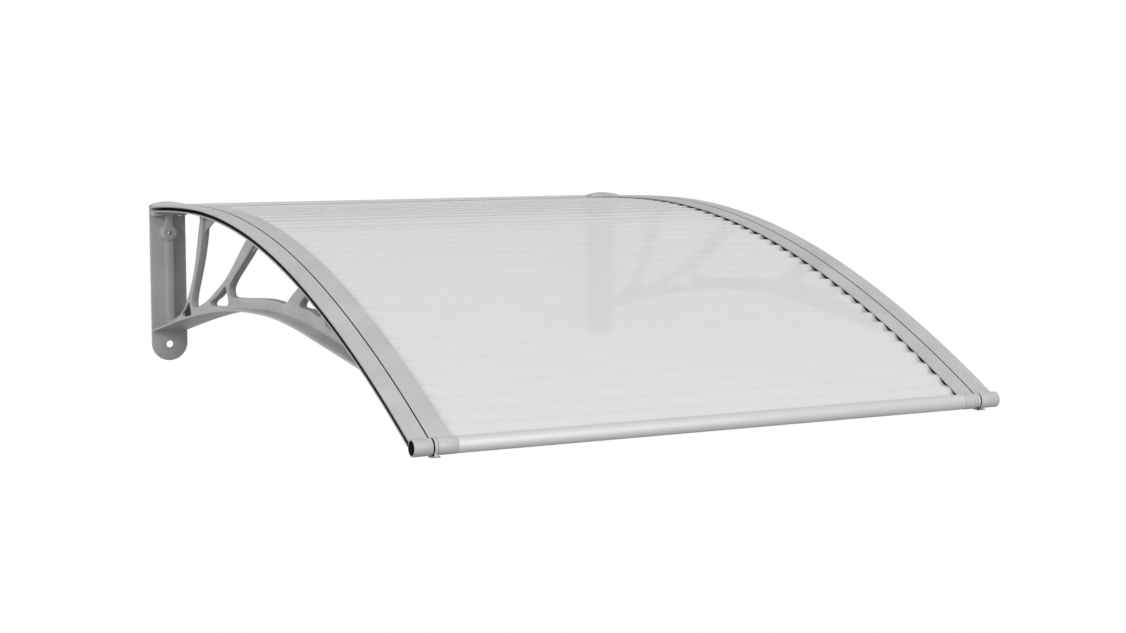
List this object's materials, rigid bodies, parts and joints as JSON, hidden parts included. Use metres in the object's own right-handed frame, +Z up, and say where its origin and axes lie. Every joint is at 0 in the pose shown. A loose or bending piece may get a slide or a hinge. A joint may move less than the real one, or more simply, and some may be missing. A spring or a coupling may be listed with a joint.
{
  "type": "polycarbonate door canopy",
  "caption": "Arched door canopy: a translucent fluted polycarbonate sheet between grey moulded wall brackets, with split cover strips and a round front bar.",
  "frame": {"origin": "on the wall plane at the centreline of the left bracket, where the roof line meets the wall", "axes": "+X along the wall towards the right bracket, +Y into the wall, +Z up; the canopy reaches out to -Y"},
  "size_m": [0.803, 1.0086, 0.2428],
  "materials": {
    "bracket_plastic": "fine grained, matt",
    "cover_plastic": "fine grained, matt",
    "clear_sheet": "translucent, smooth",
    "bar_metal": "satin anodised",
    "screw_steel": "zinc plated",
    "seal_rubber": "matt"
  },
  "bodies": {
    "root": {"left_bracket": "bracket_plastic", "right_bracket": "bracket_plastic", "left_outer_cover": "cover_plastic", "left_inner_cover": "cover_plastic", "right_inner_cover": "cover_plastic", "right_outer_cover": "cover_plastic", "roof_sheet": "clear_sheet", "front_bar": "bar_metal", "rear_bar": "bar_metal", "wall_seal": "seal_rubber", "middle_rod": "bar_metal", "left_outer_rear_screw": "screw_steel", "left_inner_rear_screw": "screw_steel", "left_outer_middle_screw": "screw_steel", "left_inner_middle_screw": "screw_steel", "left_outer_front_screw": "screw_steel", "left_inner_front_screw": "screw_steel", "left_rear_bar_screw": "screw_steel", "right_outer_rear_screw": "screw_steel", "right_inner_rear_screw": "screw_steel", "right_outer_middle_screw": "screw_steel", "right_inner_middle_screw": "screw_steel", "right_outer_front_screw": "screw_steel", "right_inner_front_screw": "screw_steel", "right_rear_bar_screw": "screw_steel"}
  },
  "joints": []
}
